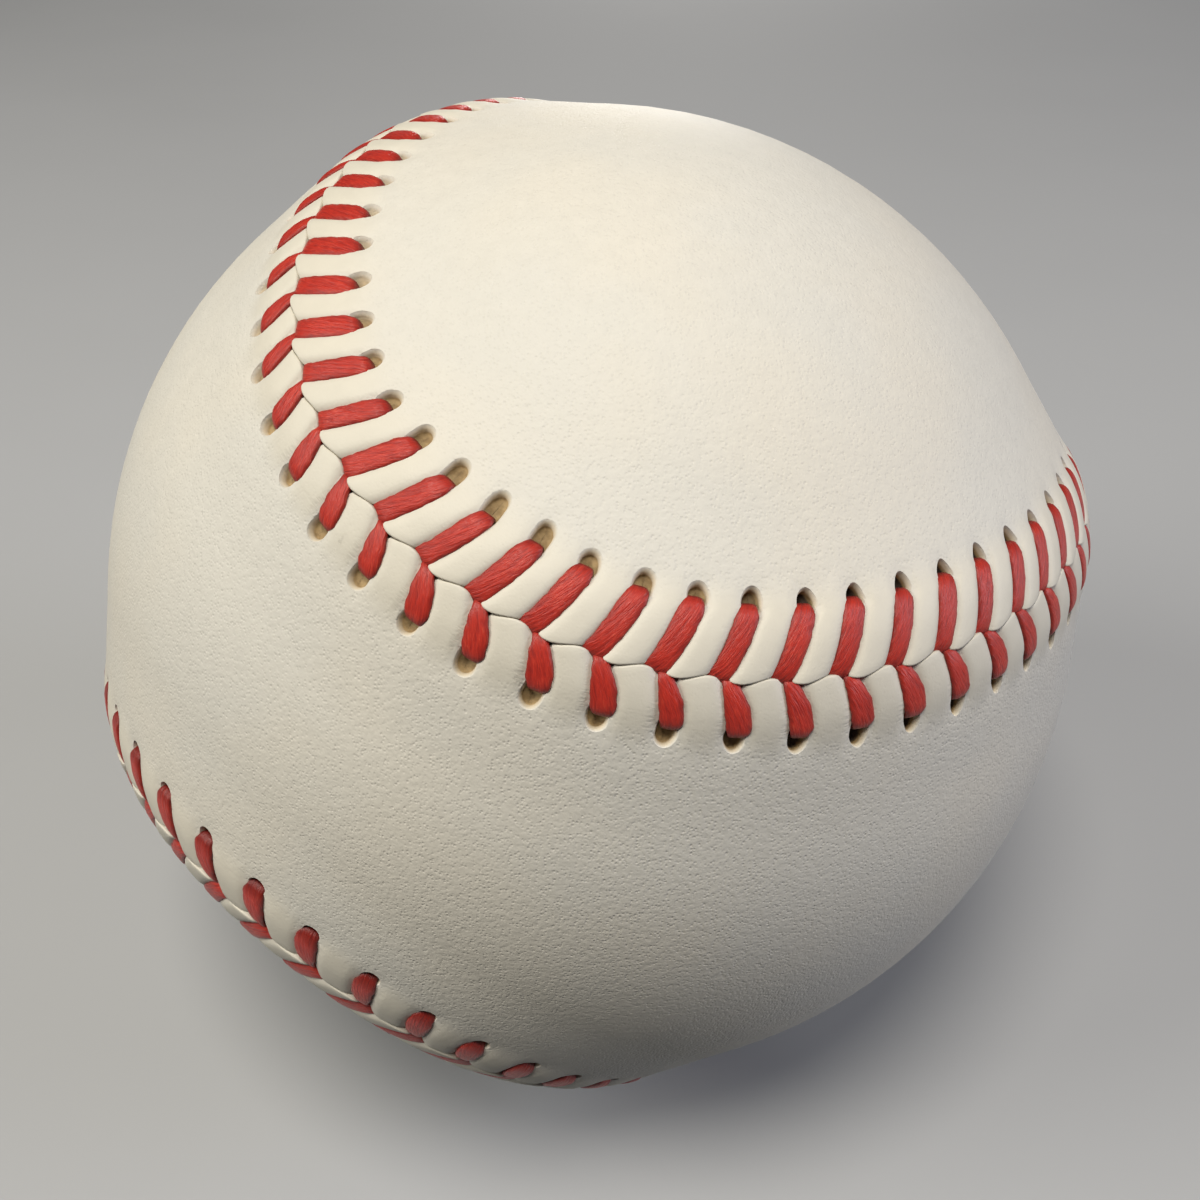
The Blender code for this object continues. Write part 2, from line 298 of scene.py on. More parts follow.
# White leather: pits, faint pebbles, smooth where stretched, creased by the stitches, tan where cut.
# Noises are scale per millimetre, detail, roughness; shade is least and more; other pairs are a step's ends
leatherLook = {
    "ivory": (0.80, 0.755, 0.655), "cool": (0.775, 0.745, 0.665),
    "warm": (0.78, 0.725, 0.595), "warmShare": 0.65,  # stretched between the stitches
    "cream": (0.72, 0.63, 0.475), "tan": (0.45, 0.32, 0.16),  # in a cut
    # Brown is the cut's own colour; dark is painted shade deep in dark slits
    "brown": (0.29, 0.195, 0.09), "dark": (0.045, 0.028, 0.018),
    "gloss": 0.42,
    "roughness": 0.52, "mottleRough": 0.16, "stretchSmooth": 0.06, "cutRough": 0.2,
    "broad": (0.07, 2.0), "mottle": (0.9, 3.0, 0.6), "fine": (6.0, 3.0, 0.6), "strands": (1.9, 3.0, 0.6),
    "cloudEdge": (0.35, 0.65),
    "pits": 4.3, "pitEdge": (0.06, 0.52), "pitChance": (-0.6, 0.9),
    "pebbles": (2.58, 1.0), "pebbleEdge": (0.3, 0.7),
    "stretchBare": 0.8,  # grain lost where stretched
    "cutBare": (0.1, 0.4), "cutRim": (0.12, 0.40), "cutInside": (0.35, 0.85), "cutDark": (0.85, 1.25),
    "cutRoughEdge": (0.2, 0.6),
    "lineStretch": (0.9, 5.0, 1.0), "lines": (1.0, 2.0, 0.5),
    "foldStretch": (0.24, 0.10, 1.0), "foldNoise": (1.0, 1.0, 0.5), "foldPatch": (0.40, 0.62),
    "folds": ((-0.40, 3.0, 0.20), (0.10, -3.6, 0.16)),  # millimetres past the holes, wander, width
    # Shade is a random mottle; the pit, groove and fold shares darken those hollows as painted shade
    "shade": (0.93, 0.09), "pitShade": 0.03, "grooveShadeShare": 0.16, "foldShade": 0.02,
    "pitDepth": 0.022, "pebbleDepth": 0.012, "fineDepth": 0.010,  # millimetres
    "creaseDepth": 0.03, "foldDepth": 0.008,
}


# Colour: ivory clouds, painted shade in pits, folds and grooves, under cut leather running to painted shade.
# Height: noise less the marks
def leatherFinish():
    look = leatherLook
    place, finish = newFinish("whiteLeather", look["gloss"])
    names = ("raw", "grooveShade", "stretch", "grain", "crease", "fold", "past")
    raw, grooveShade, stretch, grain, creased, folded, past = (place.named(name) for name in names)
    broad, mottle, fine = (place.noise(*look[key]) for key in ("broad", "mottle", "fine"))

    # Pits and broader pebbles, not on stretched or cut leather
    grainy = grain * (1 - look["stretchBare"] * stretch) * (1 - raw.step(*look["cutBare"]))
    dots = place.cells(look["pits"])
    pit = (1 - dots.step(*look["pitEdge"])) * dots.chance().step(*look["pitChance"])
    pit = pit * grainy * grain
    pebble = place.noise(*look["pebbles"]).step(*look["pebbleEdge"]) * grainy

    # Creases: fine lines beside the legs, long folds between the holes
    run = place.runUv()
    lines = run.scaled(*look["lineStretch"]).noise(*look["lines"])
    wander = run.scaled(*look["foldStretch"]).noise(*look["foldNoise"]) - 0.5
    first, second = (1 - abs(past - at + swing * wander).step(0, wide) for at, swing, wide in look["folds"])
    fold = (first + second) * mottle.step(*look["foldPatch"]) * folded
    crease = lines.step(*look["cloudEdge"]) * creased

    tone = broad.step(*look["cloudEdge"]).mixed(look["ivory"], look["cool"])
    tone = (look["warmShare"] * stretch).mixed(tone, look["warm"])
    # Random mottle, with painted shade in pits, in the grooves beside the legs and down the gap, and in folds
    shade = mottle.over(*look["shade"]) * (1 - look["pitShade"] * pit)
    shade = shade * (1 - look["grooveShadeShare"] * grooveShade) * (1 - look["foldShade"] * fold)
    inside = place.noise(*look["strands"]).step(*look["cloudEdge"]).mixed(look["brown"], look["tan"])
    cut = raw.step(*look["cutInside"]).mixed(look["cream"], inside)
    # Past the tan and brown, deep in dark slits the cut turns near-black: painted shade
    cut = raw.step(*look["cutDark"]).mixed(cut, look["dark"])
    colour = raw.step(*look["cutRim"]).mixed(tone.shaded(shade), cut)
    rough = look["roughness"] + look["mottleRough"] * mottle - look["stretchSmooth"] * stretch
    rough = rough + look["cutRough"] * raw.step(*look["cutRoughEdge"])
    height = fine * look["fineDepth"] - pit * look["pitDepth"] - pebble * look["pebbleDepth"]
    height = height - crease * look["creaseDepth"] - fold * look["foldDepth"]
    return finish(colour, rough, place.bump(height, 1.0 * mm))


# Red sewing thread: satin fibres laid a little across its run, with painted shade between the strands and in
# the holes, and painted glints
threadLook = {
    "red": (0.61, 0.037, 0.020), "deep": (0.24, 0.009, 0.009), "paintedGlint": (0.78, 0.13, 0.07),
    "gloss": 0.45, "sheen": (0.04, 0.4), "roughness": 0.31, "fibreRough": 0.25,
    "twist": 0.26,  # radians
    "fibreStretch": (2.2, 14.0, 1.0), "fibres": (1.0, 2.0, 0.6),
    "strandStretch": (0.7, 5.0, 1.0), "strands": (1.0, 1.0, 0.5),
    "patches": (0.5, 2.0),
    "fibreDark": (0.60, 0.34), "fibreShare": 0.34,
    "strandDark": (0.56, 0.34), "strandShare": 0.32,
    "glintFibre": (0.52, 0.74), "glintPatch": (0.44, 0.62), "glintShare": 0.55,
    "shade": (0.82, 0.30), "sunkShade": 0.75, "edgeShade": 0.45,
    "relief": 0.065 * mm, "fibreRelief": 0.6, "strandRelief": 0.9,
}


# Colour: red, painted shade between fibres and strands, painted glints on some, painted shade at the edges
# and in the holes
def threadFinish():
    look = threadLook
    place, finish = newFinish("redThread", look["gloss"], look["sheen"])
    twisted = place.runUv().turned((0, 0, look["twist"]))
    fibre = twisted.scaled(*look["fibreStretch"]).noise(*look["fibres"])
    strand = twisted.scaled(*look["strandStretch"]).noise(*look["strands"])
    patch = place.noise(*look["patches"])
    # Painted shade between fibres and strands, where their relief is low
    dark = fibre.step(*look["fibreDark"]) * look["fibreShare"]
    dark = dark + strand.step(*look["strandDark"]) * look["strandShare"]
    tone = dark.mixed(look["red"], look["deep"])
    # Painted glints: lighter orange fibres in some patches
    paintedGlint = fibre.step(*look["glintFibre"]) * patch.step(*look["glintPatch"]) * look["glintShare"]
    # Random patches, then painted shade where the thread sinks and near its edges
    shade = patch.over(*look["shade"]) * (1 - look["sunkShade"] * place.named("sunk"))
    shade = shade * (1 - look["edgeShade"] * place.named("edge"))
    colour = paintedGlint.mixed(tone, look["paintedGlint"]).shaded(shade)
    rough = look["roughness"] + look["fibreRough"] * (1 - fibre)
    height = fibre * look["fibreRelief"] + strand * look["strandRelief"]
    return finish(colour, rough, place.bump(height, look["relief"]))


# Wound yarn: bands of strands that cross each other at several angles
yarnLook = {
    # Dark is painted shade between the strands
    "tanFinishYarn": ((0.44, 0.34, 0.19), (0.10, 0.075, 0.04), 0.45),  # pale, dark, strand in millimetres
    "greyWoolYarn": ((0.36, 0.36, 0.37), (0.10, 0.10, 0.11), 1.1),
    "whiteWoolYarn": ((0.80, 0.77, 0.70), (0.35, 0.32, 0.27), 1.1),
    "gloss": 0.2,
    "turns": ((0.0, 0.4, 0.0), (0.9, 1.7, 0.7), (1.8, 3.0, 1.4)),  # lay of three windings, in radians
    "wobble": {"Distortion": 1.2, "Detail": 2.0, "Detail Scale": 0.4},
    "patches": ((0.16, 0.44, 0.48), (0.21, 0.54, 0.58)),  # scale per millimetre, edge
    "fuzz": (9.0, 3.0, 0.7), "fuzzShare": 0.3,
    "toneEdge": (0.1, 0.7),
    "roughness": (0.8, 0.15),  # least and more
    "relief": 0.25 * mm,
}


# Three turned waves of strands; clouds with sharp edges choose which lies on top; painted shade darkens
# between the strands
def yarnFinish(name):
    look = yarnLook
    pale, dark, strandSize = look[name]
    place, finish = newFinish(name, look["gloss"])
    windings = []
    for turns in look["turns"]:
        sockets = {"Vector": place.turned(turns), "Scale": 1 / strandSize, **look["wobble"]}
        windings.append(place.node("ShaderNodeTexWave", {"bands_direction": "Z"}, sockets, out=1))
    first, last = (place.noise(scale, 1.0).step(low, high) for scale, low, high in look["patches"])
    strands = last * windings[2] + (1 - last) * (first * windings[0] + (1 - first) * windings[1])
    fuzz = place.noise(*look["fuzz"])
    # Darker where the strands' relief is low: painted shade, with a little random fuzz
    shade = strands * (1 - look["fuzzShare"]) + fuzz * look["fuzzShare"]
    colour = shade.step(*look["toneEdge"]).mixed(dark, pale)
    normal = place.bump(strands + fuzz * look["fuzzShare"], look["relief"])
    return finish(colour, fuzz.over(*look["roughness"]), normal)


# Moulded rubber: faint mottling and a fine matte skin
rubberLook = {
    "redRubber": (0.42, 0.05, 0.04), "blackRubber": (0.02, 0.02, 0.02),
    "worn": (1.35, 0.02),  # brighter and greyer patches
    "gloss": 0.35,
    "clouds": (0.35, 4.0, 0.6), "cloudEdge": (0.3, 0.75), "skin": (6.0, 2.0),
    "roughness": (0.5, 0.3),  # least and more
    "relief": 0.04 * mm,
}


# Clouds mix the colour with its worn tone; a fine noise is roughness and height
def rubberFinish(name):
    look = rubberLook
    place, finish = newFinish(name, look["gloss"])
    cloud, skin = place.noise(*look["clouds"]), place.noise(*look["skin"])
    brighter, greyer = look["worn"]
    worn = tuple(min(1.0, brighter * part + greyer) for part in look[name])
    colour = cloud.step(*look["cloudEdge"]).mixed(look[name], worn)
    return finish(colour, skin.over(*look["roughness"]), place.bump(skin, look["relief"]))


# Ground cork: packed granules of several browns with dark joints
corkLook = {
    "pale": (0.50, 0.31, 0.17), "brown": (0.33, 0.19, 0.10), "joint": (0.16, 0.08, 0.04),
    "gloss": 0.15, "granules": 0.8, "jointEdge": (0.35, 0.75), "jointShare": 0.7,
    "roughness": (0.75, 0.2), "speckle": 4.0,  # least and more, by this scale of noise
    "relief": 0.2 * mm,
}


# Each cell has a brown by chance, and its joint far from its middle
def corkFinish():
    look = corkLook
    place, finish = newFinish("groundCork", look["gloss"])
    granule = place.cells(look["granules"])
    joint = granule.step(*look["jointEdge"])
    tone = granule.chance().mixed(look["pale"], look["brown"])
    colour = (joint * look["jointShare"]).mixed(tone, look["joint"])
    rough = place.noise(look["speckle"]).over(*look["roughness"])
    return finish(colour, rough, place.bump(1 - joint, look["relief"]))


finishes = {
    "leather": leatherFinish(),
    "thread": threadFinish(),
    "finishYarn": yarnFinish("tanFinishYarn"),
    "greyWool": yarnFinish("greyWoolYarn"),
    "whiteWool": yarnFinish("whiteWoolYarn"),
    "redRubber": rubberFinish("redRubber"),
    "blackRubber": rubberFinish("blackRubber"),
    "cork": corkFinish(),
}
print("finishes made:", len(finishes))

# Stitches: where the thread leaves each hole and reaches the gap
stitch = {
    # For each cover: distance of the holes, and its change on the lobes, where drawn shut and on the flanks;
    # length of the slits past them, more on the lobes' tips; a leg's place along the seam at gap and hole, in
    # pitches, and its bend; its press on the edge; how far a slit lies aside of it, more on the flanks; share
    # of a slit's width, and its loss on the flanks; wider legs there
    coverA: {
        "hole": 3.50 * mm, "holeLobe": 0.40 * mm, "holeTight": 0.0, "holeFlank": -0.15 * mm,
        "slitPast": 1.15 * mm, "slitLobe": 0.65 * mm, "gapShift": -0.13, "holeShift": 0.33, "bow": 0.3,
        "notch": 0.40 * mm, "lean": 0.03, "leanFlank": -0.20,
        "slitWidth": 1.1, "slitFlank": 0.15, "legFlank": 0.16,
    },
    coverB: {
        "hole": 3.08 * mm, "holeLobe": 0.40 * mm, "holeTight": 0.4 * mm, "holeFlank": 0.30 * mm,
        "slitPast": 1.22 * mm, "slitLobe": 0.40 * mm, "gapShift": 0.07, "holeShift": 0.32, "bow": 0.7,
        "notch": 0.35 * mm, "lean": -0.04, "leanFlank": 0.0,
        "slitWidth": 0.86, "slitFlank": 0.0, "legFlank": 0.0,
    },
    "slitLobeFrom": (0.955, 0.995),  # lobe shares where slits grow longer
    "growthMost": 0.2,  # change of a lobe's share over two stitches
    "slitFlankFrom": (0.30, 0.90), "legFlankFrom": (0.35, 0.85),  # parts of it where slits narrow, legs widen
    "tightest": 56, "tightShare": 0.75,  # stitch where slits are drawn shut most, and what is left of them
    # Slits turn deep and dark along these waves and where drawn shut; their dark is painted shade
    "darkWaves": 3,  # times round the seam that slits go from shallow and pale to deep and dark
    "darkStart": 6.1, "darkFrom": (-0.35, 0.60),  # stitch of the first change, and parts of its wave
    "darkShut": (0.6, 0.9),  # drawing shut where all turn dark
    "leanMost": 0.06, "leanRows": (-1.0 * mm, -0.2 * mm),  # from the hole
    "gapMiddle": 0.05 * mm, "gapSwing": 0.20 * mm, "gapPhase": 0.27,  # the gap's zigzag
    "holeSpread": 0.10 * mm, "slitSpread": 0.16 * mm, "swaySpread": 0.025,  # hand-sewn differences
    "unevenWaves": ((0.6, 2.4, 1.7), (0.4, 5.33, 4.1)),  # share, turn for each stitch and each kind
}


# Fixed unevenness from -1 to 1 for each stitch: two sines out of step with the stitches
def uneven(n, kind):
    whole = n % seam["stitches"]
    return sum(share * np.sin(turn * whole + start * kind) for share, turn, start in stitch["unevenWaves"])


# 1 where the slits are drawn shut most, 0 half-way round the seam: one cosine wave
def drawnShut(n):
    return 0.5 + 0.5 * np.cos(2 * math.pi * (n - stitch["tightest"]) / seam["stitches"])


# How fast a cover's lobe grows along the seam: change of its share over two stitches
def lobeGrowth(n, side):
    return (lobeShare(n + 1, side) - lobeShare(n - 1, side)) / stitch["growthMost"]


# Distance of a hole from the seam: the usual one plus a share of each change along the seam
def holeDistance(n, side):
    own = stitch[side]
    onLobe = own["holeLobe"] * lobeShare(n + own["holeShift"], side)
    even = own["hole"] + onLobe + own["holeTight"] * drawnShut(n) ** 2
    return even + own["holeFlank"] * lobeGrowth(n, side) + stitch["holeSpread"] * uneven(n, side)


# Distance of a slit's far end: the hole's plus a length, more on the lobes' tips, less where drawn shut
def slitFar(n, side):
    own = stitch[side]
    onTip = rise(lobeShare(n + own["holeShift"], side), *stitch["slitLobeFrom"])
    past = (own["slitPast"] + own["slitLobe"] * onTip) * (1 - (1 - stitch["tightShare"]) * drawnShut(n))
    return holeDistance(n, side) + past + stitch["slitSpread"] * uneven(n, side + 2)


# 0 at shallow pale slits, 1 at deep ones dark with painted shade: a slow sine along the seam, and dark where
# drawn shut
def slitDark(n):
    wave = np.sin(2 * math.pi * stitch["darkWaves"] * (n - stitch["darkStart"]) / seam["stitches"])
    return np.maximum(rise(wave, *stitch["darkFrom"]), rise(drawnShut(n), *stitch["darkShut"]))


# Small shift of a whole stitch along the seam, in pitches
def legSway(n, side):
    return stitch["swaySpread"] * uneven(n, side + 5)


# How far a slit lies aside of its leg, in pitches: fixed, and more where the lobe grows
def slitLean(n, side):
    own = stitch[side]
    aside = own["lean"] + own["leanFlank"] * lobeGrowth(n, side)
    return np.minimum(aside, stitch["leanMost"]) * (1 - drawnShut(n))


# A leg's shift along the seam, in pitches, at a distance across it: a slant with a bow, then the slit's lean
def legShift(across, hole, side, lean=0.0):
    own = stitch[side]
    share = np.clip(across / hole, 0, 1)
    past = rise(across - hole, *stitch["leanRows"])
    slant = own["holeShift"] - own["gapShift"]
    return own["gapShift"] + slant * (share + own["bow"] * share * (1 - share)) + lean * past


# Distance of the gap from the seam's line, towards cover A: one wave for each stitch
def gapLine(v):
    return stitch["gapMiddle"] + stitch["gapSwing"] * np.cos(2 * math.pi * (v + stitch["gapPhase"]))


# Leather cover: a band of columns that follow the legs, from the rolled edge out, then arcs over the field
cover = {
    "thickness": 1.3 * mm,
    "columns": (-0.5, -0.42, -0.345, -0.275, -0.21, -0.14, -0.07, 0, 0.07, 0.14, 0.21, 0.275, 0.345, 0.42),
    # For each cover: height between the stitches, sink and rawness round a slit, share of the funnel's
    # pull-in, and how much the leather is grained, creased and folded
    coverA: {"pillow": 0.37 * mm, "rimDip": 0.05 * mm, "rimRaw": 0.14, "pull": 1.0,
             "grain": 0.90, "crease": 0.2, "fold": 0.2},
    coverB: {"pillow": 0.30 * mm, "rimDip": 0.02 * mm, "rimRaw": 0.08, "pull": 0.45,
             "grain": 1.0, "crease": 0.5, "fold": 0.5},
    "edgeGap": 0.02 * mm, "edgeDrops": (1.25 * mm, 0.85 * mm),
    "edgeRoll": 0.12 * mm, "rollAngles": (0, 30, 60, 90),  # the edge is rounded by this radius
    "notchHalf": 0.15, "legHalf": 0.18, "slitHalf": 0.21, "grooveHalf": 0.20,  # in pitches
    "legRows": (0.13, 0.27, 0.42, 0.57, 0.71, 0.84),
    "slitNear": 0.30 * mm, "slitRows": 6,  # a slit starts this far before its leg's end
    # A slit's funnel, ring by ring: share of the mouth's width, pull-in of the far end, share of its depth,
    # cut colour running on into painted shade; pairs are for pale slits and for dark ones with painted shade
    "slitRings": (
        ((0.95, 0.95), 0.06 * mm, 0.10, (0.20, 0.24)),
        ((0.86, 0.84), 0.18 * mm, 0.26, (0.30, 0.46)),
        ((0.78, 0.72), 0.34 * mm, 0.60, (0.50, 1.25)),
        ((0.72, 0.62), 0.42 * mm, 1.00, (0.85, 1.50)),
        ((0.01, 0.01), 0.60 * mm, 1.00, (0.95, 1.50)),
    ),
    "slitDepth": (0.50 * mm, 1.00 * mm), "pullMost": 0.6,
    # Painted light: paler slits where cover A's lobe grows
    "paleFlank": 0.38,  # paler slits where cover A's lobe grows
    "bottomAside": 0.28, "bottomAsideFrom": (0.4, 0.95),  # a dark slit's bottom moves to its early side
    "bentFrom": (0.45, 0.95),  # lobe shares between which the seam counts as bent
    "slitTaper": (0.28, 0.04),  # narrowing towards the far end, where the seam is straight and where bent
    "slitCap": (1.15 * mm, 0.70 * mm),  # length of the rounded far end, likewise
    "capMost": 1.6,  # in halves of a slit
    "taperStart": -2 / 3,  # from -1 at the leg to 1 at the far end
    "nearNarrow": 0.22, "slitShut": 0.18,  # narrowing under the leg, and where drawn shut
    "slitRagged": 0.05, "raggedTurns": (2.7, 2.6, 1.3),  # waves by stitch, along the outline and by side
    "outerRows": (0.25, 0.55, 0.95, 1.5, 2.2, 3.1, 4.3),  # millimetres past the slit
    "ringStep": 0.8 * mm, "arcPoints": 16,
    "pillowFrom": (0.55, 1.8 * mm),  # a pillow fades from this share of the leg to this far past the hole
    "groove": 0.05 * mm, "grooveEnds": (-0.4 * mm, -0.3 * mm),  # under a leg, fading along the slit
    "rimReach": 0.5, "rawReach": 0.10, "rawStart": 0.2 * mm,  # in sizes of a slit, and before it
    # Painted shade down the gap's rolled edge and in the grooves beside the legs
    "edgeRaw": 0.35, "edgeRawFrom": (0.5, 2.2), "edgeShadeFrom": (0.2, 1.0),  # drops in rolls
    "legGrooveShade": 0.5, "legGrooveShadeFrom": (0.12, 0.19),  # beside a leg, in pitches
    "stretchEnd": 0.6 * mm,  # past the slit
    "creaseAt": -0.25, "creaseHalf": 0.07, "creaseFrom": (0.35, 0.6), "creaseEnd": 0.7 * mm,  # beside a leg
    "foldReach": 0.8 * mm,
    "wave": 0.03 * mm,  # slow unevenness of the whole skin
    "waveTurns": ((5, 3, 1), (-4, 5, 2), (2, -6, 5), (7, 1, -5)),
}


# Points moved out by the skin's slow unevenness: the mean of crossed sine waves over the ball
def waved(points):
    out = unit(points)
    turns = np.array(cover["waveTurns"])
    wave = cover["wave"] * np.sin(out @ turns.T + np.arange(len(turns))).mean(axis=-1)
    return points + out * wave[..., None]


# Arcs from one point to another over a unit ball, at even shares: slerp
def arcsBetween(first, last, shares):
    first, last = unit(first), unit(last)
    angle = np.arccos(np.clip((first * last).sum(-1), -1, 1))[:, None, None]
    s = np.asarray(shares)[None, :, None]
    return (np.sin((1 - s) * angle) * first[:, None] + np.sin(s * angle) * last[:, None]) / np.sin(angle)


# The field: a ring at one distance from the seam, and arcs over the ball from one half of it to the other,
# lobe tip to lobe tip. Gives points, and ring, quads and end caps counted from a first index
def makeField(side, n, reach, first):
    across = np.full(len(n), reach)
    n = n + legShift(across, stitch[side]["hole"], side, slitLean(n, side))
    ringPoints = onBall(n, side * across, ridgeHeight(across))
    ring = first + np.arange(len(n))
    tip = int(np.argmax(lobeShare(n, side)))
    halfWay = len(ring) // 2
    places = np.arange(1, halfWay)
    starts, ends = (tip + places) % len(ring), (tip - places) % len(ring)
    shares = (np.arange(cover["arcPoints"]) + 1) / (cover["arcPoints"] + 1)
    arcs = arcsBetween(ringPoints[starts], ringPoints[ends], shares) * seam["ballRadius"]
    arcIndex = ring[-1] + 1 + np.arange(arcs.shape[0] * arcs.shape[1]).reshape(arcs.shape[:2])
    lines = np.concatenate([ring[starts][:, None], arcIndex, ring[ends][:, None]], axis=1)
    quads = np.stack([lines[:-1, :-1], lines[1:, :-1], lines[1:, 1:], lines[:-1, 1:]], axis=-1).reshape(-1, 4)
    firstTip = np.full(lines.shape[1] - 1, ring[tip])
    lastTip = np.full(lines.shape[1] - 1, ring[(tip + halfWay) % len(ring)])
    caps = np.concatenate([
        np.stack([firstTip, lines[0, :-1], lines[0, 1:]], axis=-1),
        np.stack([lines[-1, :-1], lastTip, lines[-1, 1:]], axis=-1)])
    return waved(np.concatenate([ringPoints, arcs.reshape(-1, 3)])), ring, quads, caps


# Columns of points follow the legs, in rows across the seam; height is the sum of ridge, pillows, grooves and
# rims; slits are funnels of narrowing rings; the inner skin lies a thickness down
def makeCover(name, side):
    own, look = stitch[side], cover[side]
    columns = np.array(cover["columns"])
    steps = len(columns)
    count = seam["stitches"] * steps
    number = np.repeat(np.arange(seam["stitches"]), steps)
    u = np.tile(columns, seam["stitches"])
    hole, far = holeDistance(number, side), slitFar(number, side)
    near = hole - cover["slitNear"]
    sway, aside = legSway(number, side), slitLean(number, side)
    shut, dark = drawnShut(number), slitDark(number)

    # Rows of one column: the edge's wall, its roll, the leg's stretch, the slit, and out to the field
    notch = own["notch"] * bell(u, cover["notchHalf"], 4)
    edge = side * gapLine(u + sway + own["gapShift"]) + cover["edgeGap"] + notch
    roll = cover["edgeRoll"]
    turn = np.radians(cover["rollAngles"])
    drops = np.concatenate([cover["edgeDrops"], roll * (1 - np.sin(turn))])
    firstRows = len(drops)
    acrossRows = [edge for wall in cover["edgeDrops"]]
    acrossRows += [edge + roll * (1 - c) for c in np.cos(turn)]
    acrossRows += [edge + roll + (near - edge - roll) * share for share in cover["legRows"]]
    slitStart = len(acrossRows)
    acrossRows += [near + (far - near) * k / cover["slitRows"] for k in range(cover["slitRows"] + 1)]
    slitEnd = len(acrossRows) - 1
    acrossRows += [far + out * mm for out in cover["outerRows"]]
    across = np.array(acrossRows)
    rows = len(across)
    drop = np.zeros((rows, count))
    drop[:firstRows] = -drops[:, None]
    uGrid = np.repeat(u[None], rows, axis=0)

    # Slit outline: straight across under the leg, two sides, and a round cap with corners at 45 degrees
    slitCol = np.abs(u) <= cover["slitHalf"] + 1e-6
    middle, half = (near + far) / 2, (far - near) / 2
    inSlit = np.zeros((rows, count), bool)
    inSlit[slitStart:slitEnd + 1] = slitCol
    a = np.where(inSlit, uGrid / cover["slitHalf"], 0)
    b = np.where(inSlit, (across - middle) / half, 0)
    bent = np.interp(np.abs(lobeShare(number + own["holeShift"], side)), cover["bentFrom"], (0, 1))
    bent = np.maximum(bent, shut)
    cap = np.minimum(partWay(cover["slitCap"], bent) / half, cover["capMost"])
    corner = math.pi / 4 * a
    onFar = b > 1 - 1e-6
    sides = 1 - cap * (1 - math.cos(math.pi / 4)) / 2
    roundB = np.where(onFar, 1 - cap * (1 - np.cos(corner)), (b + 1) * sides - 1)
    inCap = np.clip((roundB - 1) / cap + 1, 0, 1)
    roundA = np.where(onFar, np.sin(corner), a * np.sqrt(1 - inCap ** 2))

    # Its width: less under the leg, at the far end, where drawn shut and on the flanks, with a ragged edge
    toFar = np.clip((roundB - cover["taperStart"]) / (1 - cover["taperStart"]), 0, 1) ** 1.5
    narrow = 1 - cover["nearNarrow"] * np.clip(-roundB, 0, 1) ** 2 - partWay(cover["slitTaper"], bent) * toFar
    narrow *= 1 - cover["slitShut"] * shut
    onFlank = rise(-lobeGrowth(number, side), *stitch["slitFlankFrom"])
    narrow *= own["slitWidth"] * (1 - own["slitFlank"] * onFlank)
    byStitch, along, bySide = cover["raggedTurns"]
    ragged = cover["slitRagged"] * np.sin(byStitch * number + along * roundB + bySide * np.sign(a))
    roundA = roundA * narrow * (1 + ragged)
    bottomAside = cover["bottomAside"] * rise(dark, *cover["bottomAsideFrom"])

    # A ring of the funnel: narrower, drawn back from the far end, and moved to the early side
    def slitPlaces(widths, pull):
        scale = partWay(widths, dark)
        moved = roundA * scale - bottomAside * (1 - scale) * np.abs(narrow)
        shorter = 1 - np.minimum(look["pull"] * pull / (2 * half), cover["pullMost"])
        drawn = near + (middle + half * roundB - near) * shorter
        return np.where(inSlit, cover["slitHalf"] * moved, uGrid), np.where(inSlit, drawn, across)

    # Heights: ridge, plump pillows between the legs, a groove under each leg, a sunk rim round each slit
    uOut, yOut = slitPlaces((1.0, 1.0), 0.0)
    fromCrown = (0.5 - np.abs(uOut)) / (0.5 - cover["legHalf"])
    plump = np.sqrt(np.clip(1 - fromCrown ** 3, 0, 1))
    fadeFrom, fadeEnd = cover["pillowFrom"]
    pillow = look["pillow"] * plump * (1 - rise(yOut, near * fadeFrom, hole + fadeEnd))
    fadeFrom, fadeEnd = cover["grooveEnds"]
    inGroove = bell(uOut, cover["grooveHalf"], 4) * (1 - rise(yOut, near + fadeFrom, far + fadeEnd))
    outside = np.sqrt((uOut / cover["slitHalf"]) ** 2 + ((yOut - middle) / half) ** 2)
    outside = np.maximum(outside - 1, 0)
    height = ridgeHeight(yOut) + drop + pillow - cover["groove"] * inGroove
    height = height - look["rimDip"] * bell(outside, cover["rimReach"])

    # Points of the band, moved along the seam as the legs are
    def placed(uPlace, yPlace, heights):
        return onBall(number + sway + uPlace + legShift(yPlace, hole, side, aside), side * yPlace, heights)

    outer = waved(placed(uOut, yOut, height))
    depth = partWay(cover["slitDepth"], dark)
    walls = [placed(*slitPlaces(widths, pull), height - depth * share)
             for widths, pull, share, raws in cover["slitRings"]]
    yIn = across.copy()
    yIn[:firstRows] = edge + np.linspace(0.0, roll, firstRows)[:, None]
    inner = placed(uGrid, yIn, ridgeHeight(yIn) - cover["thickness"])
    inner = np.where(inSlit[..., None], walls.pop(), inner)

    # Faces of the band, without the slits
    index = np.arange(rows * count).reshape(rows, count)
    keep = np.ones((rows - 1, count), bool)
    keep[slitStart:slitEnd] = ~(slitCol & np.roll(slitCol, -1))

    # The field, on every half stitch, joined to the band by faces of many corners
    stride = steps // 2
    ringCols = np.arange(0, count, stride)
    reach = across[-1].max() + cover["ringStep"]
    fieldPoints, ring, field, caps = makeField(side, number[ringCols] + u[ringCols], reach, rows * count)
    spans = ringCols[:, None] + np.arange(stride + 1)[None]
    joins = np.concatenate([index[-1][spans % count], np.roll(ring, -1)[:, None], ring[:, None]], axis=1)

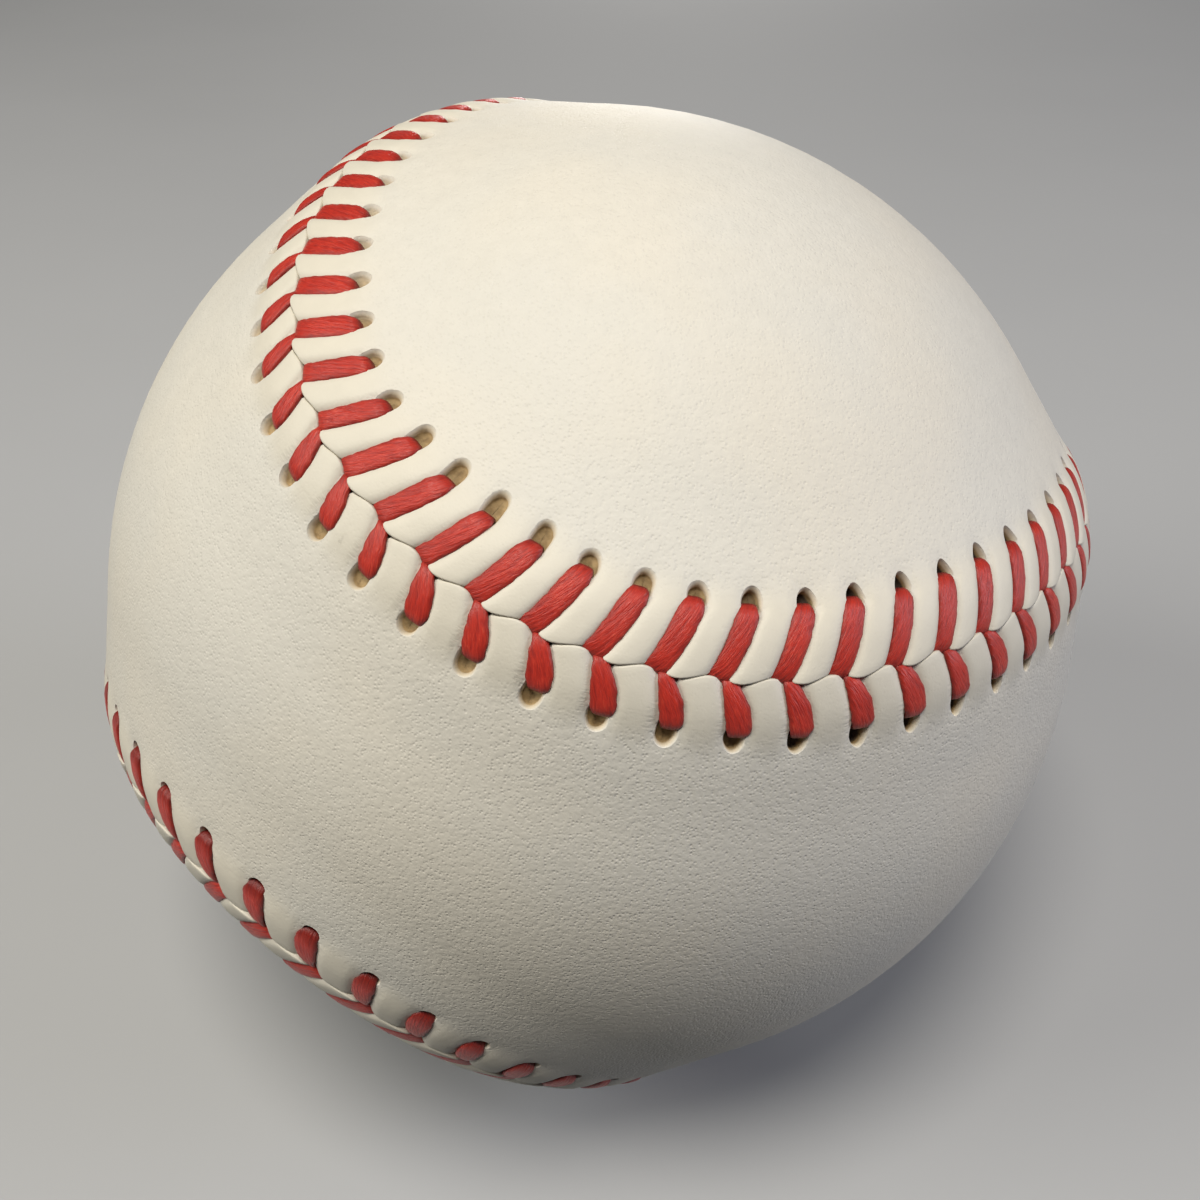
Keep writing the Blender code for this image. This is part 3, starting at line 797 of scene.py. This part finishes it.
    # Layers of points: the outer skin, the rings down the slits' walls, the inner skin
    under = 1 - cover["thickness"] / seam["ballRadius"]
    layers = [np.concatenate([layer.reshape(-1, 3), fieldPoints]) for layer in [outer, *walls]]
    layers.append(np.concatenate([inner.reshape(-1, 3), fieldPoints * under]))
    size, last = len(layers[0]), len(layers) - 1

    # Both skins, then the walls along every edge that only one face of the outer skin has
    skins = [np.concatenate([ringQuads(index)[keep], field]), caps, joins]
    if side == coverB:
        skins = [faces[:, ::-1] for faces in skins]
    edges = [np.stack([faces, np.roll(faces, -1, axis=1)], axis=-1).reshape(-1, 2) for faces in skins]
    edges = np.concatenate(edges)
    lone = ~np.isin(edges[:, 0] * size + edges[:, 1], edges[:, 1] * size + edges[:, 0])
    start, end = edges[lone].T
    atSlit = start >= count
    faceSets = skins + [faces[:, ::-1] + last * size for faces in skins]

    # Quads between two layers along the edges
    def wall(rimEdges, top, bottom):
        first, second = start[rimEdges], end[rimEdges]
        corners = [second + top * size, first + top * size, first + bottom * size, second + bottom * size]
        return np.stack(corners, axis=-1)

    faceSets += [wall(atSlit, k, k + 1) for k in range(last)]
    faceSets += [wall(~atSlit, 0, last)]

    # What the finish reads: cut colour and painted shade, stretched, creased, folded leather, and the run
    # along the seam
    raw = bell(outside, cover["rawReach"]) * look["rimRaw"] * rise(yOut, near - cover["rawStart"], near)
    inRolls = -drop / roll
    onWall = cover["edgeRaw"] * rise(inRolls, *cover["edgeRawFrom"])
    raw[:firstRows] = np.maximum(raw, onWall)[:firstRows]
    # Painted shade in the groove beside each leg and down the rolled edge
    besideLeg = inGroove * rise(np.abs(uOut), *cover["legGrooveShadeFrom"])
    crease = bell(uOut - cover["creaseAt"], cover["creaseHalf"]) * rise(yOut / hole, *cover["creaseFrom"])
    crease = crease * (1 - rise(yOut, hole, hole + cover["creaseEnd"]))
    onSkin = {
        "grooveShade": np.maximum(cover["legGrooveShade"] * besideLeg, rise(inRolls, *cover["edgeShadeFrom"])),
        "stretch": np.sqrt(plump) * (1 - rise(yOut, near, far + cover["stretchEnd"])),
        "crease": look["crease"] * crease,
        "fold": look["fold"] * plump * bell(yOut - hole, cover["foldReach"]),
        "past": (yOut - hole) / mm,
    }
    plain = np.zeros(size - rows * count)
    below = np.zeros(last * size)
    attributes = {key: np.concatenate([values.ravel(), plain, below]) for key, values in onSkin.items()}
    # Painted light makes slits paler where cover A's lobe grows
    whiter = 1 - cover["paleFlank"] * rise(lobeGrowth(number, coverA), *stitch["legFlankFrom"])
    # Rings down the slits: cut colour, running to painted shade in dark slits
    cutShadeLayers = [raw]
    for widths, pull, share, (rawPale, darkCutShade) in cover["slitRings"]:
        cutShadeLayers.append(np.broadcast_to(partWay((whiter * rawPale, darkCutShade), dark), raw.shape))
    attributes["raw"] = np.concatenate([part for layer in cutShadeLayers for part in (layer.ravel(), plain)])
    attributes["grain"] = np.full(size * (last + 1), look["grain"])
    runAlong = np.broadcast_to((number + uOut) * pitch, yOut.shape)
    band = np.stack([runAlong.ravel(), yOut.ravel()], axis=-1) / mm
    uv = np.concatenate([band, np.zeros((len(plain), 2))] * (last + 1))

    # Points that only the slits held are dropped; the slits' rims and bottoms are sharp
    points = np.concatenate(layers)
    used = np.zeros(len(points), bool)
    used[np.concatenate([faces.ravel() for faces in faceSets])] = True
    newIndex = np.cumsum(used) - 1
    faceSets = [newIndex[faces] for faces in faceSets]
    attributes = {key: values[used] for key, values in attributes.items()}
    sharp = np.zeros(len(points), bool)
    sharp[start[atSlit]] = True
    sharp[start[atSlit] + last * size] = True
    return makePiece(name, points[used], faceSets, finishes["leather"], attributes, uv[used], sharp[used])


leatherPieces = {
    "cover_panel_a": makeCover("leatherCoverA", coverA),
    "cover_panel_b": makeCover("leatherCoverB", coverB),
}
print("covers made:", len(leatherPieces))

# Thread: up through a hole, over the leather to the gap, down it, under the other cover to the next hole
thread = {
    "sides": 20, "smooth": 2,  # points round it, and along it for each row of the route
    "thickness": 0.38 * mm, "underWidth": 0.70 * mm,
    coverA: {"gapWidth": 1.34 * mm, "legWidth": 1.45 * mm, "holeWidth": 1.08 * mm, "slant": -0.25},
    coverB: {"gapWidth": 0.98 * mm, "legWidth": 1.48 * mm, "holeWidth": 1.05 * mm, "slant": 0.0},
    "below": -1.27 * mm,  # height of the runs under the covers
    "lift": 0.05 * mm,  # height of a leg's ends over the ridge
    "arch": 0.10 * mm,  # rise of a leg's middle over its ends
    # Rows up the hole and down the gap: distance past it, height, share of the width there, and 1 where the
    # height is over the ridge
    "underHole": -0.02 * mm,
    "holeRows": ((0.02 * mm, -0.50 * mm, 0.9, 0), (0.06 * mm, -0.28 * mm, 1.0, 1)),
    "gapRows": ((-0.06 * mm, -0.18 * mm, 0.95, 1), (-0.12 * mm, -0.20 * mm, 0.7, 0)),
    "underGap": (-0.35 * mm, -0.95 * mm),
    "legShares": (0.95, 0.83, 0.67, 0.51, 0.36, 0.22),
    "tipFrom": 0.9, "tipDip": 0.08 * mm, "tipNarrow": 0.5,  # share of the leg where its tip dips and narrows
    "gapFrom": (0.5, 1.0),  # parts of the way between which a leg takes its width at the gap
    "gapShare": 0.08, "gapDip": 0.02 * mm,  # where a leg turns down into the gap
    "underShares": (0.3, 0.6, 0.9),
    "widthSpread": 0.07,  # hand-sewn differences between legs
    # Dark tips: painted shade where legs dive into drawn-shut slits
    "shutWider": 0.12, "shutDark": 0.75, "shutDarkFrom": (0.7, 1.0),  # wider legs with dark tips
    "sunkFrom": (-0.10 * mm, 0.40 * mm),  # depths below the ridge between which thread is shaded
    "edgeFuzz": 0.04 * mm, "fuzzWaves": ((5.1, 1.0), (8.7, 2.3)), "fuzzPhase": 2.0,
    "flatness": 0.62, "roundness": 0.75,  # shape of the section: 1 is an ellipse, 0 a box
}


# Route of the legs on one cover: rows of stitch number, distance across, height, width and slant
def legRoute(side):
    own, look = stitch[side], thread[side]
    n = np.arange(seam["stitches"], dtype=float)
    hole = holeDistance(n, side)
    otherHole = holeDistance(n + 1, -side)
    sway, otherSway = legSway(n, side), legSway(n + 1, -side)
    gap = side * gapLine(own["gapShift"] + sway)
    wider = 1 + thread["widthSpread"] * uneven(n, side + 8) + thread["shutWider"] * drawnShut(n) ** 2
    wider = wider + own["legFlank"] * rise(lobeGrowth(n, side), *stitch["legFlankFrom"])
    route = []

    # One more row of the route for every stitch
    def add(shift, across, height, width, slant=0.0):
        parts = (n + shift, side * across, height, width * wider, slant)
        route.append(np.stack([np.broadcast_to(part, n.shape) for part in parts], axis=-1))

    holeShift, gapShift = own["holeShift"] + sway, own["gapShift"] + sway
    add(holeShift, hole + thread["underHole"], thread["below"], thread["underWidth"])
    for past, height, share, onRidge in thread["holeRows"]:
        add(holeShift, hole + past, height + onRidge * ridgeHeight(hole), look["holeWidth"] * share)
    for share in thread["legShares"]:
        across = gap + (hole - gap) * share
        atTip = share > thread["tipFrom"]
        arch = thread["arch"] * math.sin(math.pi * share) - thread["tipDip"] * atTip
        width = partWay((look["legWidth"], look["gapWidth"]), float(rise(1 - share, *thread["gapFrom"])))
        width = width + (look["holeWidth"] - look["legWidth"]) * thread["tipNarrow"] * atTip
        add(legShift(across, hole, side) + sway, across, ridgeHeight(across) + thread["lift"] + arch, width)
    across = gap + (hole - gap) * thread["gapShare"]
    height = ridgeHeight(gap) + thread["lift"] - thread["gapDip"]
    add(legShift(across, hole, side) + sway, across, height, look["gapWidth"], look["slant"])
    for past, height, share, onRidge in thread["gapRows"]:
        height = height + onRidge * ridgeHeight(gap)
        add(gapShift, gap + past, height, look["gapWidth"] * share, look["slant"] * onRidge)
    past, height = thread["underGap"]
    add(gapShift, gap + past, height, thread["underWidth"])
    farShift = 1 + stitch[-side]["holeShift"] + otherSway
    for share in thread["underShares"]:
        add(partWay((gapShift, farShift), share), -otherHole * share, thread["below"], thread["underWidth"])
    return np.stack(route, axis=1)


# Points of a curve through rows of a route: Catmull-Rom, several to each row
def throughRows(rows, smooth):
    padded = np.concatenate([rows[:1], rows, rows[-1:]])
    p0, p1, p2, p3 = (p[:, None] for p in (padded[:-3], padded[1:-2], padded[2:-1], padded[3:]))
    s = (np.arange(smooth) / smooth)[None, :, None]
    square, cube = 2 * p0 - 5 * p1 + 4 * p2 - p3, 3 * p1 - p0 - 3 * p2 + p3
    curve = p1 + 0.5 * ((p2 - p0) * s + square * s ** 2 + cube * s ** 3)
    return np.concatenate([curve.reshape(-1, rows.shape[1]), rows[-1:]])


# A thread takes the leg on one cover, then the next on the other; along that curve goes its section, a flat
# ribbon of powered cosine and sine
def makeThread(name, firstCover):
    even = (np.arange(seam["stitches"]) % 2 == 0)[:, None, None]
    rows = np.where(even, legRoute(firstCover), legRoute(-firstCover)).reshape(-1, 5)
    n, across, height, width, slant = throughRows(rows, thread["smooth"]).T
    centre = onBall(n, across, height)
    out, along, aside = seamFrame(n)
    wide = along + aside * slant[:, None]
    thick = unit(np.cross(np.gradient(centre, axis=0), wide))
    turn = np.linspace(0, 2 * math.pi, thread["sides"], endpoint=False)
    flat = np.sign(np.cos(turn)) * np.abs(np.cos(turn)) ** thread["flatness"]
    deep = np.sign(np.sin(turn)) * np.abs(np.sin(turn)) ** thread["roundness"]
    run = np.concatenate([[0.0], np.cumsum(np.linalg.norm(np.diff(centre, axis=0), axis=1))]) / mm
    phase = np.where(flat >= 0, 0.0, thread["fuzzPhase"])[None]
    fuzz = sum(np.sin(waves * run[:, None] + apart * phase) for waves, apart in thread["fuzzWaves"])
    spread = flat[None] * (width[:, None] / 2 + thread["edgeFuzz"] / 2 * fuzz)
    points = centre[:, None] + wide[:, None] * spread[..., None]
    points = points + thick[:, None] * (deep[None, :, None] * thread["thickness"] / 2)

    # Faces round the ribbon and over its two ends
    rings, sides = points.shape[:2]
    index = np.arange(rings * sides).reshape(rings, sides)
    quads = ringQuads(index).reshape(-1, 4)
    ends = np.stack([index[0][::-1], index[-1]])

    # What the finish reads: the run along the thread, and for painted shade how deep it is sunk, its
    # drawn-shut tips and how near its edges
    crosswise = flat[None] * width[:, None] / 2 / mm
    uv = np.stack(np.broadcast_arrays(run[:, None], crosswise), axis=-1).reshape(-1, 2)
    sunk = rise(ridgeHeight(across) - height, *thread["sunkFrom"])
    hole = np.where(across > 0, holeDistance(n, coverA), holeDistance(n, coverB))
    # Painted shade on the tips of legs by drawn-shut slits
    tipDark = thread["shutDark"] * drawnShut(n) ** 2 * rise(np.abs(across) / hole, *thread["shutDarkFrom"])
    nearEdge = np.abs(flat) ** 4
    attributes = {"sunk": np.repeat(np.maximum(sunk, tipDark), sides), "edge": np.tile(nearEdge, rings)}
    return makePiece(name, points.reshape(-1, 3), [quads, ends], finishes["thread"], attributes, uv)


threadPieces = {
    "stitch_thread_a": makeThread("redThreadA", coverA),
    "stitch_thread_b": makeThread("redThreadB", coverB),
}
print("threads sewn:", len(threadPieces))

# Every piece rides on the ball and stands for its CAD node; the inner nodes only get a finish
for node, piece in {**leatherPieces, **threadPieces}.items():
    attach(piece, "root")
    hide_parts(node)
innerNodes = {
    "cork": ["cork_core"],
    "blackRubber": ["inner_rubber_lower", "inner_rubber_upper"],
    "redRubber": ["rubber_gasket", "outer_rubber_lower", "outer_rubber_upper"],
    "greyWool": ["winding_first_grey", "winding_third_grey"],
    "whiteWool": ["winding_second_white"],
    "finishYarn": ["winding_finish_yarn"],
}
for finish, nodes in innerNodes.items():
    for node in nodes:
        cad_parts[node].data.materials.clear()
        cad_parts[node].data.materials.append(finishes[finish])
print("pieces fitted to the frame")

# Stage: pale floor, soft lights, and the camera of the photograph
stage = {
    "floorHalf": 1.2, "floorGloss": 0.2, "floorRoughness": (0.85, 0.1),
    "floorColour": (0.48, 0.485, 0.49), "floorDim": 0.95, "floorClouds": (0.02, 2.0),
    "worldColour": (0.80, 0.89, 1.0), "worldStrength": 0.022,
    # name, azimuth and elevation from the ball in degrees, distance, size, watts, colour
    "lights": (
        ("key", -14, 69, 0.60, 0.24, 2.46, (1.0, 0.955, 0.875)),
        ("left", -74, 36, 0.80, 0.40, 3.1, (1.0, 0.975, 0.905)),
        ("right", 82, 20, 0.80, 0.40, 2.9, (0.87, 0.885, 1.0)),
        ("back", 176, 6, 0.80, 0.20, 1.15, (1.0, 0.975, 0.94)),
    ),
}


# One square face under the ball, clouded a little
def makeFloor():
    place, finish = newFinish("paleFloor", stage["floorGloss"])
    cloud = place.noise(*stage["floorClouds"])
    dim = tuple(stage["floorDim"] * part for part in stage["floorColour"])
    material = finish(cloud.mixed(dim, stage["floorColour"]), cloud.over(*stage["floorRoughness"]))
    half, level = stage["floorHalf"], -seam["ballRadius"] - cover["wave"]
    corners = [[-half, -half, level], [half, -half, level], [half, half, level], [-half, half, level]]
    floor = makePiece("floor", np.array(corners), [np.array([[0, 1, 2, 3]])], material)
    floor.visible_diffuse = False  # keeps its glow off the ball's underside


# Unit vector from the ball at an azimuth (0 towards the camera's side, -Y) and an elevation
def direction(azimuth, elevation):
    a, e = math.radians(azimuth), math.radians(elevation)
    return np.array([math.sin(a) * math.cos(e), -math.cos(a) * math.cos(e), math.sin(e)])


# Turn an object so that it looks from its place at the ball's centre
def aimAtBall(thing, place):
    back = unit(place)
    right = unit(np.cross([0, 0, 1], back))
    matrix = np.eye(4)
    matrix[:3, :3] = np.stack([right, np.cross(back, right), back], axis=1)
    matrix[:3, 3] = place
    thing.matrix_world = Matrix(matrix.tolist())
    bpy.context.scene.collection.objects.link(thing)


# Round soft lights that face the ball, and a faint even sky
def makeLights():
    for name, azimuth, elevation, distance, size, watts, colour in stage["lights"]:
        lamp = bpy.data.lights.new(name, "AREA")
        lamp.shape = "DISK"
        lamp.size = size
        lamp.energy = watts
        lamp.color = colour
        aimAtBall(bpy.data.objects.new(name, lamp), direction(azimuth, elevation) * distance)
    world = bpy.data.worlds.new("studio")
    world.use_nodes = True
    sky = world.node_tree.nodes["Background"]
    sky.inputs["Color"].default_value = (*stage["worldColour"], 1.0)
    sky.inputs["Strength"].default_value = stage["worldStrength"]
    bpy.context.scene.world = world


camera = {
    "azimuth": 0, "elevation": 35, "distance": 107.0 * mm, "nearest": 1 * mm,
    "fieldOfView": 48.97, "imageSize": 1200,
    "centre": (591.8, 586.9),  # where the ball's centre falls in the image
}


# Looks at the ball's centre, shifted by that centre's offset in the image
def makeCamera():
    data = bpy.data.cameras.new("camera")
    data.angle = math.radians(camera["fieldOfView"])
    data.clip_start = camera["nearest"]
    middle = camera["imageSize"] / 2
    data.shift_x = (middle - camera["centre"][0]) / camera["imageSize"]
    data.shift_y = (camera["centre"][1] - middle) / camera["imageSize"]
    eye = bpy.data.objects.new("camera", data)
    aimAtBall(eye, direction(camera["azimuth"], camera["elevation"]) * camera["distance"])
    bpy.context.scene.camera = eye


makeFloor()
makeLights()
makeCamera()
bpy.context.scene.view_settings.view_transform = "Standard"
print("stage set")
